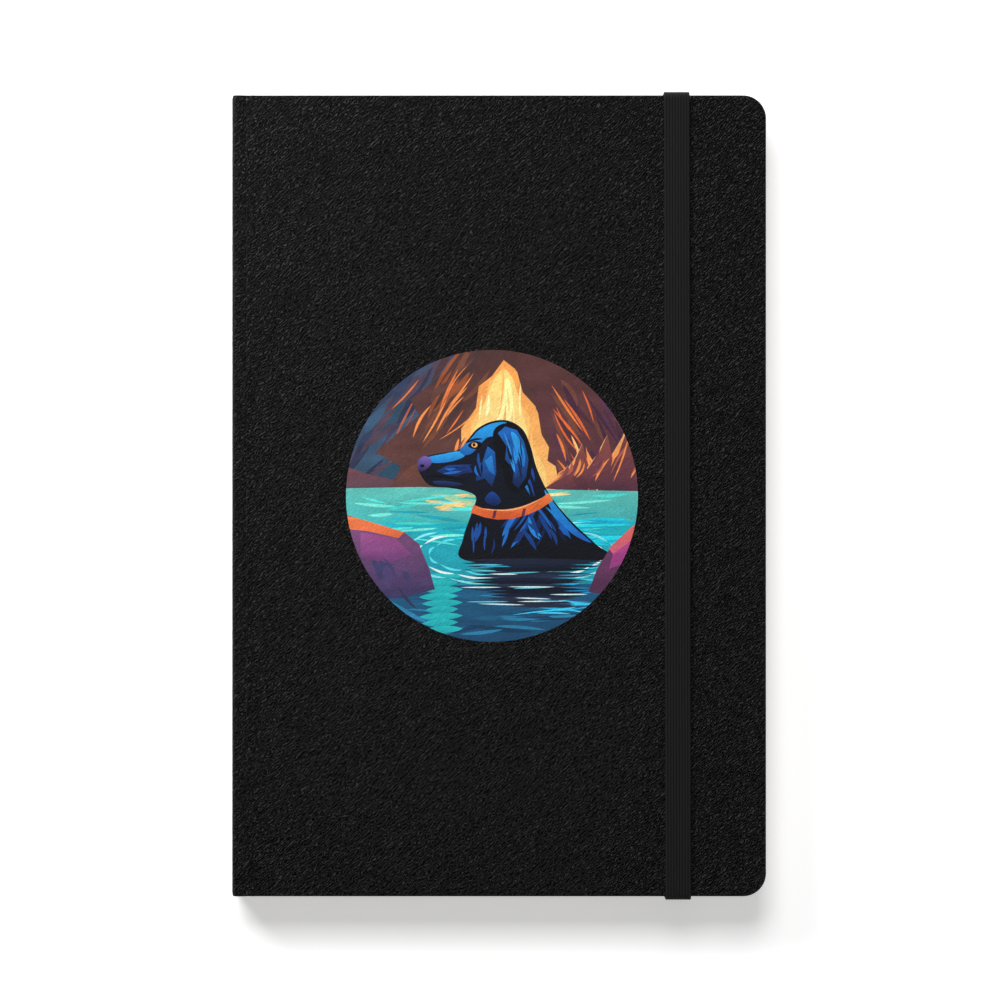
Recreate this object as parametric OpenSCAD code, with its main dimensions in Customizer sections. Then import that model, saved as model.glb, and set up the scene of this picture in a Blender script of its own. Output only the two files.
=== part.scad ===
// Hardcover journal with an elastic closure: case-bound, sewn in ten signatures.
// X runs from the spine to the fore-edge, Y from tail to head, Z from the back cover to the front cover.
// The origin is the middle of the back cover's outer face.

/* [Covers] */
// Width of the closed book, spine to fore-edge
cover_w = 144; // [125:1:160]
// Height of a cover, tail to head
cover_h = 216; // [190:1:240]
// Radius of the two fore-edge corners of a cover
corner_r = 6.2; // [4:0.1:9]
// Thickness of the greyboard
board_t = 1.9; // [1.6:0.1:2.6]
// Thickness of the leatherette
skin_t = 0.3; // [0.2:0.05:0.4]
// Width of leatherette turned in over the board's inner face
turn_in = 12; // [8:1:15]
// Thickness of a pasted-down endpaper
paste_t = 0.2; // [0.1:0.05:0.3]
// Distance from the spine to the crease that a cover bends on
crease = 4; // [3.5:0.5:6]

/* [Paper] */
// Distance from the cover's edge to the paper's edge
square_w = 3; // [2:0.5:4]
// Radius of the paper's fore-edge corners
page_corner_r = 5; // [3:0.5:8]
// Thickness of one leaf
leaf_t = 0.11; // [0.09:0.01:0.13]
// Leaves in one sewn signature
signature_leaves = 8; // [6:2:12]
// Thickness of a flyleaf, the loose half of an endpaper
flyleaf_t = 0.15; // [0.12:0.01:0.2]

/* [Print] */
// Diameter of the round print on the front cover
print_d = 78.7; // [50:0.1:84]
// Distance of the print's centre from the middle of the cover, towards the spine
print_shift = 1.9; // [0:0.1:8]
// Thickness of the printed film
print_t = 0.05; // [0.03:0.01:0.08]

/* [Elastic] */
// Width of the elastic band
band_w = 6.9; // [5:0.1:9]
// Thickness of the elastic band
band_t = 1.0; // [0.8:0.1:1.2]
// Distance of the band's middle line from the fore-edge
band_inset = 23.9; // [18:0.1:27]
// Length of each band end that is glued inside the back cover
tab_len = 20; // [15:1:25]

/* [Ribbon and pocket] */
// Width of the ribbon marker
ribbon_w = 6; // [4:0.5:8]
// Thickness of the ribbon marker
ribbon_t = 0.25; // [0.15:0.05:0.25]
// Thickness of the pocket's card panel
panel_t = 0.35; // [0.25:0.05:0.4]
// Thickness of the pocket's folded cloth gussets
gusset_t = 0.35; // [0.3:0.05:0.5]
// Width of a folded gusset strip
gusset_w = 6; // [4:0.5:10]

/* [Hidden] */
SIGNATURES = 10;
REAR_SIGNATURES = 5;

// Signature 1 is the first one under the front cover.
function signature_name(i) = i < 10 ? str("signature_0", i) : str("signature_", i);
SIGNATURE_NAMES = [for (i = [1:SIGNATURES]) signature_name(i)];
BACK_COVER_NODES = [
    "back_board", "back_cover_skin", "back_pastedown", "elastic_tabs", "pocket_gussets", "pocket_panel"
];
BLOCK_NODES = [
    "back_flyleaf", "front_flyleaf", "sewing_thread_rear", "sewing_thread_front",
    "ribbon_marker", "spine_mull", "spine_card", "spine_skin"
];
FRONT_COVER_NODES = ["front_board", "front_cover_skin", "front_pastedown", "cover_print"];

// Edges in X and Y
spine_x = -cover_w / 2;
fore_x = cover_w / 2;
head_y = cover_h / 2;
crease_x = spine_x + crease;
crease_gap = 0.1;
board_joint = 1.2; // the board stops this far short of the crease
board_x = crease_x + board_joint;
block_joint = 1; // from the spine's outer face to the folds of the signatures
block_x = spine_x + block_joint;
page_x = fore_x - square_w;
page_y = head_y - square_w;
paste_short = 0.2; // a pasted-down endpaper is cut this much inside the pages
paste_x = page_x - paste_short;
paste_y = page_y - paste_short;
paste_corner_r = 3.5;
band_x = fore_x - band_inset;

// Heights, from the back cover's outer face
skin_top = skin_t + board_t + skin_t;
cover_t = skin_top + paste_t;
panel_z = cover_t + gusset_t;
slack = 0.05; // between the pocket and the paper, and between the paper and the front cover
block_z = panel_z + panel_t + slack;
signature_t = signature_leaves * leaf_t;
ribbon_gap = 0.3;
rear_z = block_z + flyleaf_t;
ribbon_z = rear_z + REAR_SIGNATURES * signature_t;
front_z = ribbon_z + ribbon_gap;
fly_z = front_z + (SIGNATURES - REAR_SIGNATURES) * signature_t;
book_t = fly_z + flyleaf_t + slack + cover_t;

// Spine layers, from the outside in
shoulder_r = 1.5;
card_t = 0.3;
mull_t = 0.15;
thread_r = 0.12;
card_x = spine_x + skin_t;
mull_x = card_x + card_t;
card_margin = 0.2;
mull_short = 7;

// Six sewing stations along the spine, with two strands at each
station_pitch = 36;
STATIONS = [for (i = [-2.5:2.5]) i * station_pitch];
strand_gap = 1.2;

// Pocket on the inside of the back cover
pocket_spine_margin = 12;
pocket_fore_margin = 6.5;
pocket_end_margin = 9;
pocket_mouth_x = spine_x + pocket_spine_margin;
pocket_fore_x = fore_x - pocket_fore_margin;
pocket_y = head_y - pocket_end_margin;
mouth_corner_r = 4;
gusset_start = 2;

// Ribbon marker, which slants from the head of the spine towards the tail
ribbon_head_gap = 1;
ribbon_tail_gap = 9;
ribbon_start = 1;
ribbon_end = 38;

leather_black = "#151515";
paper_cream = "#efe8d2";
board_grey = "#8f8a80";
cloth_black = "#222222";
linen_white = "#f4f1e6";
gauze_white = "#e9e5d8";
print_blue = "#2c6f86";

$fn = 96;

// Outline square at the spine side and rounded at the two fore-edge corners
module fore_rounded(x0, x1, half_h, r) {
    translate([x0, -half_h]) square([x1 - x0 - r, 2 * half_h]);
    translate([x0, r - half_h]) square([x1 - x0, 2 * (half_h - r)]);
    for (side = [-1, 1])
        translate([x1 - r, side * (half_h - r)]) circle(r = r);
}

// Outline rounded at the two spine-side corners
module spine_rounded(x0, x1, half_h, r) {
    mirror([1, 0]) fore_rounded(-x1, -x0, half_h, r);
}

// Turns a piece of the back cover over, to make the front cover's
module turned_over() {
    translate([0, 0, book_t]) mirror([0, 0, 1]) children();
}

module board_outline() {
    fore_rounded(board_x, fore_x - skin_t, head_y - skin_t, corner_r - skin_t);
}

// The two band ends lie in notches that open at the head and tail edges
module tab_notches(z0, z1) {
    for (side = [-1, 1])
        translate([band_x - band_w / 2, side * (head_y - tab_len / 2) - tab_len / 2, z0])
            cube([band_w, tab_len, z1 - z0]);
}

// Greyboard of one cover, at the back cover's place
module board() {
    translate([0, 0, skin_t]) linear_extrude(board_t) board_outline();
}

// Leatherette of one cover: outer face, wrapped edges and turn-ins
module cover_skin() {
    difference() {
        linear_extrude(skin_top)
            fore_rounded(crease_x + crease_gap, fore_x, head_y, corner_r);
        board();
        translate([0, 0, skin_t + board_t])
            linear_extrude(2 * skin_t)
                translate([spine_x, turn_in - head_y])
                    square([cover_w - turn_in, cover_h - 2 * turn_in]);
        translate([spine_x, -head_y, skin_t])
            cube([board_x - spine_x, cover_h, skin_top]);
    }
}

// Endpaper glued inside one cover: it fills the field between the turn-ins and laps over them
module pastedown() {
    translate([0, 0, skin_top])
        linear_extrude(paste_t)
            fore_rounded(board_x, paste_x, paste_y, paste_corner_r);
    translate([board_x, turn_in - head_y, skin_t + board_t])
        cube([fore_x - turn_in - board_x, cover_h - 2 * turn_in, skin_t]);
}

module back_board() {
    color(board_grey) difference() {
        board();
        tab_notches(skin_top - band_t, skin_top);
    }
}

module back_cover_skin() {
    color(leather_black) difference() {
        cover_skin();
        tab_notches(skin_top - band_t, skin_top);
    }
}

module back_pastedown() {
    color(paper_cream) difference() {
        pastedown();
        tab_notches(skin_top - band_t, skin_top);
    }
}

// Ends of the elastic, let into the board under the endpaper
module elastic_tabs() {
    color(cloth_black) tab_notches(skin_top - band_t, skin_top);
}

// Folded cloth along the pocket's head, tail and fore-edge
module pocket_gussets() {
    color(cloth_black) translate([0, 0, cover_t]) linear_extrude(gusset_t) difference() {
        translate([pocket_mouth_x + gusset_start, -pocket_y])
            square([pocket_fore_x - pocket_mouth_x - gusset_start, 2 * pocket_y]);
        translate([pocket_mouth_x, gusset_w - pocket_y])
            square([pocket_fore_x - gusset_w - pocket_mouth_x, 2 * (pocket_y - gusset_w)]);
    }
}

// Card front of the pocket: its mouth faces the spine
module pocket_panel() {
    color(paper_cream) translate([0, 0, panel_z]) linear_extrude(panel_t)
        spine_rounded(pocket_mouth_x, pocket_fore_x, pocket_y, mouth_corner_r);
}

// One sewn signature: folded leaves with a round back fold
module signature(i) {
    above = i <= SIGNATURES - REAR_SIGNATURES;
    z = above
        ? fly_z - i * signature_t
        : rear_z + (SIGNATURES - i) * signature_t;
    fold_r = signature_t / 2;
    color(paper_cream) translate([0, 0, z]) {
        linear_extrude(signature_t)
            fore_rounded(block_x + fold_r, page_x, page_y, page_corner_r);
        translate([block_x + fold_r, page_y, fold_r])
            rotate([90, 0, 0]) cylinder(r = fold_r, h = 2 * page_y);
    }
}

module flyleaf(z) {
    color(paper_cream) translate([0, 0, z]) linear_extrude(flyleaf_t)
        fore_rounded(block_x, page_x, page_y, page_corner_r);
}

// Linen strands over the folds of half of the signatures
module sewing_thread(z0, z1) {
    color(linen_white)
        for (y = STATIONS, side = [-1, 1])
            translate([block_x - thread_r, y + side * strand_gap / 2, z0])
                cylinder(r = thread_r, h = z1 - z0);
}

// Marker glued to the head of the spine, lying flat between signatures 5 and 6
module ribbon_marker() {
    top_y = page_y - ribbon_head_gap;
    tail_y = ribbon_tail_gap - page_y;
    start_x = block_x + ribbon_start;
    end_x = block_x + ribbon_end;
    color(cloth_black) translate([0, 0, ribbon_z]) linear_extrude(ribbon_t) polygon([
        [start_x, top_y], [start_x + ribbon_w, top_y], [end_x + ribbon_w, tail_y], [end_x, tail_y]
    ]);
}

module spine_mull() {
    color(gauze_white) translate([mull_x, mull_short - head_y, rear_z])
        cube([mull_t, cover_h - 2 * mull_short, fly_z - rear_z]);
}

module spine_card() {
    color(board_grey) translate([card_x, skin_t - head_y, cover_t + card_margin])
        cube([card_t, cover_h - 2 * skin_t, book_t - 2 * (cover_t + card_margin)]);
}

// Section of the spine's leatherette: rounded on the outside, open towards the pages
module spine_section(inset) {
    r = shoulder_r - inset;
    x0 = spine_x + inset;
    h = book_t - 2 * inset;
    translate([x0 + r, inset]) square([crease - inset - r, h]);
    translate([x0, inset + r]) square([crease - inset, h - 2 * r]);
    for (z = [inset + r, inset + h - r])
        translate([x0 + r, z]) circle(r = r);
}

module spine_skin() {
    color(leather_black) translate([0, head_y, 0]) rotate([90, 0, 0])
        linear_extrude(cover_h) difference() {
            spine_section(0);
            spine_section(skin_t);
        }
}

module front_board() {
    color(board_grey) turned_over() board();
}

module front_cover_skin() {
    color(leather_black) difference() {
        turned_over() cover_skin();
        translate([-print_shift, 0, book_t - print_t]) cylinder(d = print_d, h = skin_t);
    }
}

module front_pastedown() {
    color(paper_cream) turned_over() pastedown();
}

// Round print, level with the leatherette round it
module cover_print() {
    color(print_blue) translate([-print_shift, 0, book_t - print_t])
        cylinder(d = print_d, h = print_t);
}

// Elastic over the front cover, with a leg down each edge to the back cover
module elastic_band() {
    leg_z = skin_top - band_t;
    color(cloth_black) translate([band_x - band_w / 2, 0, 0]) {
        translate([0, -head_y - band_t, book_t])
            cube([band_w, cover_h + 2 * band_t, band_t]);
        for (y = [-head_y - band_t, head_y])
            translate([0, y, leg_z]) cube([band_w, band_t, book_t - leg_z]);
    }
}

back_board();
back_cover_skin();
back_pastedown();
elastic_tabs();
pocket_gussets();
pocket_panel();
flyleaf(block_z);  // back_flyleaf
flyleaf(fly_z);  // front_flyleaf
sewing_thread(rear_z, ribbon_z);  // sewing_thread_rear
sewing_thread(front_z, fly_z);  // sewing_thread_front
ribbon_marker();
spine_mull();
spine_card();
spine_skin();
for (i = [1:SIGNATURES])
    signature(i);
front_board();
front_cover_skin();
front_pastedown();
cover_print();
elastic_band();
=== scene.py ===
"""Looks of the hardcover journal: leatherette, paper, elastic and round print, round its CAD frame."""
import math
import random

import bpy
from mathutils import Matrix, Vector, geometry, noise


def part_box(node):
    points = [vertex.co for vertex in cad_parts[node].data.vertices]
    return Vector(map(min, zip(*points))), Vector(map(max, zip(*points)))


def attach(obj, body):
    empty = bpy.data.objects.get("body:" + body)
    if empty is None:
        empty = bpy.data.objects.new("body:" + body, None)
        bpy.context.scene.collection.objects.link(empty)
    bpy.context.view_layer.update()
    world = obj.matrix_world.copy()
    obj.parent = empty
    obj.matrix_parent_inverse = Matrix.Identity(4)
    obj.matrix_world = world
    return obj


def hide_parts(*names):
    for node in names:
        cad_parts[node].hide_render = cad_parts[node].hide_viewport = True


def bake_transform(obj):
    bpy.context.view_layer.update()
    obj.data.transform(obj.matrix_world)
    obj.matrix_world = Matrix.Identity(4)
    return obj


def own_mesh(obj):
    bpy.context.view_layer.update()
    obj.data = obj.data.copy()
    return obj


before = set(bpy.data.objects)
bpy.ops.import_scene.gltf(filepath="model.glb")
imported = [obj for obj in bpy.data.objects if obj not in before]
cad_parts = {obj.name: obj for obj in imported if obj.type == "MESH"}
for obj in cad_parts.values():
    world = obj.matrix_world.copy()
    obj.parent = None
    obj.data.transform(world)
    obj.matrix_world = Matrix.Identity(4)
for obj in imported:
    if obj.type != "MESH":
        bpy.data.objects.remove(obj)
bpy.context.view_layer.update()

MM = 0.001
random.seed(7)

# ---- places from the frame, with given corner and edge radii -------------------------------------
SPINE_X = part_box("spine_skin")[0].x
CREASE_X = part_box("spine_skin")[1].x
FORE_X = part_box("front_cover_skin")[1].x
HEAD_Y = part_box("front_cover_skin")[1].y
BOOK_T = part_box("front_cover_skin")[1].z
MID_Z = BOOK_T / 2
COVER_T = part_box("back_pastedown")[1].z
BOARD_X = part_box("back_board")[0].x
BOARD_LOW, BOARD_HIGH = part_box("back_board")[0].z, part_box("back_board")[1].z
SKIN_T = BOARD_LOW
PAGE_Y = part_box("front_flyleaf")[1].y
BLOCK_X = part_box("front_flyleaf")[0].x
CORNER_R = 6.2 * MM
PAGE_CORNER_R = 5 * MM
SPINE_CORNER_R = 0.3 * MM
EDGE_R = 0.7 * MM


# ---- camera --------------------------------------------------------------------------------------
def make_camera():
    """Straight down on the front cover, head edge up, with a long lens."""
    lens, sensor, view_width = 150.0, 36.0, 269.5 * MM
    centre_x, centre_y = 0.27 * MM, -1.13 * MM
    data = bpy.data.cameras.new("camera")
    data.lens, data.sensor_width = lens, sensor
    camera = bpy.data.objects.new("camera", data)
    camera.location = (centre_x, centre_y, BOOK_T + view_width * lens / sensor)
    bpy.context.scene.collection.objects.link(camera)
    bpy.context.scene.camera = camera


make_camera()


# ---- material nodes ------------------------------------------------------------------------------
class Nodes:
    """A new material with short calls for its shader nodes."""

    def __init__(self, name):
        self.material = bpy.data.materials.new(name)
        self.material.use_nodes = True
        self.tree = self.material.node_tree
        self.shader = self.tree.nodes["Principled BSDF"]

    def add(self, kind, **values):
        """A node of this kind. A value goes to the input of its name, or else to the node's own setting."""
        node = self.tree.nodes.new(kind)
        for key, value in values.items():
            if key in node.inputs:
                node.inputs[key].default_value = value
            else:
                setattr(node, key.lower(), value)
        return node

    def link(self, source, socket):
        self.tree.links.new(source, socket)

    def coordinates(self, scale, turn=0.0):
        """Object coordinates in metres, with X laid along the turned direction and then scaled."""
        place = self.add("ShaderNodeTexCoord")
        mapping = self.add("ShaderNodeMapping")
        mapping.vector_type = "TEXTURE"
        mapping.inputs["Scale"].default_value = tuple(1 / s for s in scale)
        mapping.inputs["Rotation"].default_value = (0, 0, turn)
        self.link(place.outputs["Object"], mapping.inputs["Vector"])
        return mapping.outputs["Vector"]

    def noise(self, vector, scale, detail=2.0, roughness=0.5):
        node = self.add("ShaderNodeTexNoise", Scale=scale, Detail=detail, Roughness=roughness)
        self.link(vector, node.inputs["Vector"])
        return node.outputs["Fac"]

    def waves(self, vector, scale, distortion, warp_scale):
        """Wandering rows across the vector's Y, 0 to 1."""
        node = self.add("ShaderNodeTexWave", Scale=scale, Distortion=distortion, Detail=1.0)
        node.wave_type, node.bands_direction = "BANDS", "Y"
        node.inputs["Detail Scale"].default_value = warp_scale
        self.link(vector, node.inputs["Vector"])
        return node.outputs["Fac"]

    def math(self, operation, a, b=None):
        """A sum on numbers or on other nodes' outputs."""
        node = self.add("ShaderNodeMath")
        node.operation = operation
        for socket, value in zip(node.inputs, (a, b)):
            if value is None:
                continue
            if isinstance(value, (int, float)):
                socket.default_value = value
            else:
                self.link(value, socket)
        return node.outputs["Value"]

    def spread(self, value, low, high, to_low=0.0, to_high=1.0):
        """The value with low to high stretched to the new range, and held there."""
        node = self.add("ShaderNodeMapRange")
        sockets = ("From Min", "From Max", "To Min", "To Max")
        for key, number in zip(sockets, (low, high, to_low, to_high)):
            node.inputs[key].default_value = number
        self.link(value, node.inputs["Value"])
        return node.outputs["Result"]

    def mix(self, factor, a, b):
        """Blend of two colours, each a linear RGB tuple or another node's output."""
        color_a, color_b, color_result = 6, 7, 2
        node = self.add("ShaderNodeMix")
        node.data_type = "RGBA"
        self.link(factor, node.inputs["Factor"])
        for index, value in ((color_a, a), (color_b, b)):
            if isinstance(value, tuple):
                node.inputs[index].default_value = value + (1.0,)
            else:
                self.link(value, node.inputs[index])
        return node.outputs[color_result]

    def bump(self, height, distance, strength=1.0):
        node = self.add("ShaderNodeBump", Strength=strength, Distance=distance)
        self.link(height, node.inputs["Height"])
        return node.outputs["Normal"]

    def finish(self, color=None, roughness=None, normal=None, **constants):
        """Connects the shader and returns the material. Constants are set on the shader's own inputs."""
        for socket, value in (("Base Color", color), ("Roughness", roughness), ("Normal", normal)):
            if value is None:
                continue
            if isinstance(value, (int, float)):
                self.shader.inputs[socket].default_value = value
            else:
                self.link(value, self.shader.inputs[socket])
        for key, value in constants.items():
            self.shader.inputs[key.replace("_", " ")].default_value = value
        return self.material


def leather_grain(nodes):
    """Height of the grain, about 0 in the valleys to 1: wandering rows that lean to the upper right."""
    lean, stretch = math.radians(42), 0.65
    row_scale, pebble_scale, wrinkle_scale = 540, 2900, 700
    slanted = nodes.coordinates((stretch, 1.0, 1), lean)
    rows = nodes.waves(slanted, row_scale, distortion=8.5, warp_scale=2.3)
    pebbles = nodes.noise(slanted, pebble_scale, 0.0)
    wrinkle = nodes.noise(nodes.coordinates((1, 1, 1)), wrinkle_scale)
    height = nodes.math("ADD", nodes.math("MULTIPLY", rows, 0.55), nodes.math("MULTIPLY", pebbles, 0.45))
    return nodes.math("ADD", height, nodes.math("MULTIPLY", wrinkle, 0.12))


def leather_material():
    """Black leatherette: the grain's tops carry a painted highlight, lighter in colour than the dark valleys,
    and the valleys are duller.
    """
    nodes = Nodes("black_leatherette")
    grain = leather_grain(nodes)
    broad = nodes.noise(nodes.coordinates((1, 1, 1)), 9.0, 2.0)
    # Painted highlight: the grain's tops get a lighter colour that stands in for glints.
    painted_grain_highlight = nodes.math("POWER", nodes.spread(grain, 0.42, 0.92), 2.2)
    color = nodes.mix(painted_grain_highlight, (0.0001, 0.0001, 0.0001), (0.042, 0.0415, 0.042))
    wear = nodes.spread(broad, 0.3, 0.7, -0.03, 0.03)
    rough = nodes.math("ADD", nodes.spread(grain, 0.3, 1.0, 0.52, 0.36), wear)
    return nodes.finish(color, rough, nodes.bump(grain, 0.42 * MM, 1.0), Specular_IOR_Level=0.07)


def print_material():
    """The print's colours over the same grain, with painted shade in the grain's valleys: ink is a little
    glossier than the leatherette.
    """
    nodes = Nodes("printed_leatherette")
    grain = leather_grain(nodes)
    paint = nodes.add("ShaderNodeVertexColor")
    paint.layer_name = "Paint"
    # Painted shade: the grain's valleys pull the print's colour up to a fifth of the way to a dark
    # blue-black.
    dark = nodes.mix(nodes.spread(grain, 0.4, 0.75, 0.2, 0.0), paint.outputs["Color"], (0.003, 0.004, 0.006))
    rough = nodes.spread(grain, 0.3, 0.9, 0.6, 0.45)
    return nodes.finish(dark, rough, nodes.bump(grain, 0.1 * MM, 0.7), Specular_IOR_Level=0.13)


def ruled_lines(nodes, place, color):
    """The colour with faint blue lines on the flat faces, below a blank head margin."""
    pitch, head_margin, line_share, shift = 7.1 * MM, 18 * MM, 0.02, 1.0
    split = nodes.add("ShaderNodeSeparateXYZ")
    nodes.link(place, split.inputs[0])
    height = split.outputs["Y"]
    surface = nodes.add("ShaderNodeNewGeometry")
    facing = nodes.add("ShaderNodeSeparateXYZ")
    nodes.link(surface.outputs["Normal"], facing.inputs[0])
    flat = nodes.math("GREATER_THAN", nodes.math("ABSOLUTE", facing.outputs["Z"]), 0.7)
    phase = nodes.math("FRACT", nodes.math("MULTIPLY", nodes.math("ADD", height, shift), 1 / pitch))
    off_centre = nodes.math("ABSOLUTE", nodes.math("SUBTRACT", phase, 0.5))
    line = nodes.math("LESS_THAN", off_centre, line_share)
    below_margin = nodes.math("LESS_THAN", height, HEAD_Y - head_margin)
    shown = nodes.math("MULTIPLY", nodes.math("MULTIPLY", line, below_margin), flat)
    return nodes.mix(nodes.math("MULTIPLY", shown, 0.55), color, (0.33, 0.36, 0.42))


def paper_material(name, tone, ruled=False):
    """Matt paper of one tone, with fine fibres and a faint cloudiness."""
    nodes = Nodes(name)
    plain = nodes.coordinates((1, 1, 1))
    fibre = nodes.noise(nodes.coordinates((1, 0.35, 1)), 2600, 4.0, 0.65)
    cloud = nodes.noise(plain, 38, 3.0)
    dark = tuple(c * 0.9 for c in tone)
    color = nodes.mix(nodes.spread(nodes.math("ADD", fibre, cloud), 0.75, 1.25), dark, tone)
    if ruled:
        color = ruled_lines(nodes, plain, color)
    return nodes.finish(color, 0.85, nodes.bump(fibre, 0.02 * MM, 0.5), Specular_IOR_Level=0.25)


def elastic_material():
    """Woven elastic: fine cross threads over the lengthwise ribs, with painted shade in the grooves between
    the ribs.
    """
    nodes = Nodes("woven_elastic")
    threads = nodes.add("ShaderNodeTexWave", Scale=1.0, Distortion=0.6, Detail=1.0)
    threads.bands_direction = "Y"
    nodes.link(nodes.coordinates((2600, 2600, 2600)), threads.inputs["Vector"])
    fuzz = nodes.noise(nodes.coordinates((1, 1, 1)), 5200, 3.0, 0.7)
    threads_part = nodes.math("MULTIPLY", threads.outputs["Fac"], 0.6)
    weave = nodes.math("ADD", threads_part, nodes.math("MULTIPLY", fuzz, 0.6))
    color = nodes.mix(nodes.spread(weave, 0.3, 0.9), (0.0065, 0.0065, 0.0067), (0.0155, 0.0155, 0.0158))
    # Painted shade: where the per-point value falls to 0, in the grooves between the ribs, the colour goes
    # near black.
    groove_shade = nodes.add("ShaderNodeVertexColor")
    groove_shade.layer_name = "GrooveShade"
    color = nodes.mix(nodes.spread(groove_shade.outputs["Color"], 0.1, 0.7), (0.0022, 0.0022, 0.0023), color)
    return nodes.finish(
        color, 0.72, nodes.bump(weave, 0.07 * MM, 0.8),
        Specular_IOR_Level=0.16, Sheen_Weight=0.03, Sheen_Roughness=0.4,
    )


WAVE_BAND = 0.314  # width of one band of a Wave texture at scale 1


def cloth_material(name, dark, light, pitch_mm, turn=0.0):
    """Plain weave: two crossing sets of threads."""
    nodes = Nodes(name)
    across = nodes.add("ShaderNodeTexWave", Scale=1.0)
    along = nodes.add("ShaderNodeTexWave", Scale=1.0)
    across.bands_direction, along.bands_direction = "X", "Y"
    scale = WAVE_BAND / (pitch_mm * MM)
    vector = nodes.coordinates((scale, scale, scale), turn)
    for wave in (across, along):
        nodes.link(vector, wave.inputs["Vector"])
    weave = nodes.math("MAXIMUM", across.outputs["Fac"], along.outputs["Fac"])
    fuzz = nodes.noise(nodes.coordinates((1, 1, 1)), 4200, 2.0)
    height = nodes.math("ADD", weave, nodes.math("MULTIPLY", fuzz, 0.4))
    return nodes.finish(
        nodes.mix(nodes.spread(height, 0.4, 1.3), dark, light), 0.8, nodes.bump(height, 0.06 * MM, 0.7),
        Sheen_Weight=0.1, Sheen_Roughness=0.5,
    )


def board_material():
    """Grey board with flecks."""
    nodes = Nodes("greyboard")
    flecks = nodes.noise(nodes.coordinates((1, 0.6, 1)), 1500, 4.0, 0.7)
    color = nodes.mix(nodes.spread(flecks, 0.35, 0.65), (0.17, 0.15, 0.13), (0.32, 0.29, 0.25))
    return nodes.finish(color, 0.9, nodes.bump(flecks, 0.05 * MM, 0.6), Specular_IOR_Level=0.2)


CREAM = (0.80, 0.73, 0.57)
LEATHER = leather_material()
PRINT = print_material()
PAGE = paper_material("cream_page", CREAM, ruled=True)
ENDPAPER = paper_material("cream_endpaper", (0.78, 0.70, 0.53))
POCKET_CARD = paper_material("pocket_card", (0.74, 0.66, 0.49))
ELASTIC = elastic_material()
RIBBON = cloth_material("ribbon_satin", (0.006, 0.006, 0.007), (0.02, 0.02, 0.021), 0.25)
GUSSET_CLOTH = cloth_material("gusset_cloth", (0.008, 0.008, 0.009), (0.03, 0.03, 0.032), 0.35)
MULL = cloth_material("mull_gauze", (0.42, 0.40, 0.34), (0.78, 0.76, 0.68), 0.9)
LINEN = cloth_material("linen_thread", (0.55, 0.52, 0.44), (0.85, 0.83, 0.75), 0.2, 0.6)
BOARD = board_material()


# ---- mesh helpers --------------------------------------------------------------------------------
def add_mesh(name, vertices, faces, material, smooth=True):
    """A mesh object in the scene, with its material and slot; edges sharper than 35 degrees stay sharp."""
    data = bpy.data.meshes.new(name)
    data.from_pydata(vertices, [], faces)
    data.materials.append(material)
    data.update()
    if smooth:
        data.shade_smooth()
        data.set_sharp_from_angle(angle=math.radians(35))
    piece = bpy.data.objects.new(name, data)
    bpy.context.scene.collection.objects.link(piece)
    return piece


def arc(cx, cy, radius, start_deg, end_deg, steps):
    """Points along an arc, both ends included."""
    turn = [math.radians(start_deg + (end_deg - start_deg) * i / steps) for i in range(steps + 1)]
    return [(cx + radius * math.cos(a), cy + radius * math.sin(a)) for a in turn]


def outline(x0, x1, half_h, fore_r, spine_r, inset=0.0):
    """Outline with rounded corners, counter-clockwise, moved inwards by inset."""
    tiny = 0.02 * MM
    fore_r, spine_r = max(fore_r - inset, tiny), max(spine_r - inset, tiny)
    x0, x1, half_h = x0 + inset, x1 - inset, half_h - inset
    return (
        arc(x1 - fore_r, -half_h + fore_r, fore_r, -90, 0, 14)
        + arc(x1 - fore_r, half_h - fore_r, fore_r, 0, 90, 14)
        + arc(x0 + spine_r, half_h - spine_r, spine_r, 90, 180, 6)
        + arc(x0 + spine_r, -half_h + spine_r, spine_r, 180, 270, 6)
    )


def ring_solid(rings, vertices, faces):
    """Adds a closed solid through rings of equal length, with a flat cap on the first and the last."""
    first = len(vertices)
    count = len(rings[0])
    for ring in rings:
        vertices.extend(ring)
    for k in range(len(rings) - 1):
        a, b = first + k * count, first + (k + 1) * count
        for i in range(count):
            j = (i + 1) % count
            faces.append((a + i, a + j, b + j, b + i))
    faces.append(tuple(reversed(range(first, first + count))))
    last = first + (len(rings) - 1) * count
    faces.append(tuple(range(last, last + count)))


def sweep_y(section, y_stations, vertices, faces, shape=None):
    """Adds a solid with this closed XZ section at each Y station; shape(x, z, y) may move a point."""
    rings = []
    for y in y_stations:
        ring = []
        for x, z in section:
            px, pz = shape(x, z, y) if shape else (x, z)
            ring.append((px, y, pz))
        rings.append(ring)
    ring_solid(rings, vertices, faces)


def spaced(low, high, step):
    """Even stations from low to high, no further apart than step."""
    count = max(1, math.ceil((high - low) / step))
    return [low + (high - low) * i / count for i in range(count + 1)]


# ---- covers --------------------------------------------------------------------------------------
HINGE_DIP = 0.35 * MM


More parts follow.
